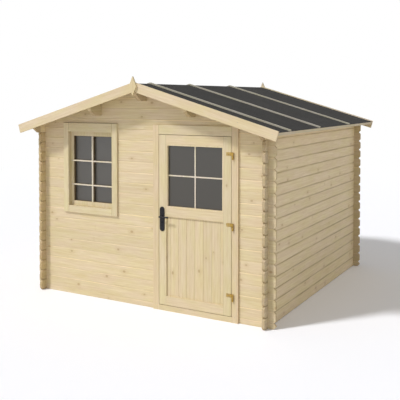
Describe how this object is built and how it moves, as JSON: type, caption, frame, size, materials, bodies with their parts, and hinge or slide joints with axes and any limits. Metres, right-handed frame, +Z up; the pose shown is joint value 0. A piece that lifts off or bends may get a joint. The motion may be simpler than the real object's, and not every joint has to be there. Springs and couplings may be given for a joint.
{
  "type": "log garden shed",
  "caption": "Gabled garden shed of interlocking spruce logs, with a boarded half-glazed door, a barred window, a plank floor and a felted roof.",
  "frame": {"origin": "middle of the whole shed's outline, on the ground", "axes": "+Z up; the door and window side faces -Y; +X to the right as one faces the door"},
  "size_m": [3.2112, 3.27, 2.4405],
  "materials": {
    "spruce_logs": "planed, untreated",
    "spruce": "planed, untreated",
    "spruce_boards": "planed, untreated",
    "spruce_battens": "sawn, weathered",
    "felt": "mineral-faced bitumen felt, matte",
    "glass": "clear pane over a dark room",
    "brass": "yellow-passivated",
    "black_iron": "black, satin"
  },
  "bodies": {
    "shed": {"front_sill_log": "spruce_logs", "front_wall_left": "spruce_logs", "front_wall_right": "spruce_logs", "front_gable": "spruce_logs", "back_wall": "spruce_logs", "back_gable": "spruce_logs", "left_wall": "spruce_logs", "right_wall": "spruce_logs", "eave_logs": "spruce_logs", "ridge_purlin": "spruce", "side_purlins": "spruce", "left_roof_boards": "spruce_boards", "right_roof_boards": "spruce_boards", "left_felt": "felt", "right_felt": "felt", "felt_battens": "spruce_battens", "front_left_barge_board": "spruce", "front_right_barge_board": "spruce", "back_left_barge_board": "spruce", "back_right_barge_board": "spruce", "finials": "spruce", "eave_laths": "spruce", "door_jambs": "spruce", "door_head": "spruce", "door_threshold": "spruce", "door_side_casings": "spruce", "door_head_casing": "spruce", "hinge_pins": "brass", "window_frame": "spruce", "window_sash": "spruce", "window_glass": "glass", "window_side_casings": "spruce", "window_head_and_sill_casings": "spruce", "floor_boards": "spruce_boards", "floor_bearers": "spruce"},
    "door": {"door_stiles": "spruce", "door_rails": "spruce", "door_boarding": "spruce", "door_glass": "glass", "door_glass_beads": "spruce", "hinge_plates": "brass", "handle_plates": "black_iron"},
    "lever": {"lever_handle": "black_iron"}
  },
  "joints": [
    {"name": "door_swing", "type": "hinge", "parent": "shed", "child": "door", "pos_m": [1.05, -1.437, 0.95], "axis": [0, 0, 1], "range_deg": [0, 135]},
    {"name": "lever_turn", "type": "hinge", "parent": "door", "child": "lever", "pos_m": [0.227, -1.405, 0.988], "axis": [0, 1, 0], "range_deg": [0, 40], "stiffness_Nm_per_rad": 1, "springref_deg": -40.11}
  ]
}
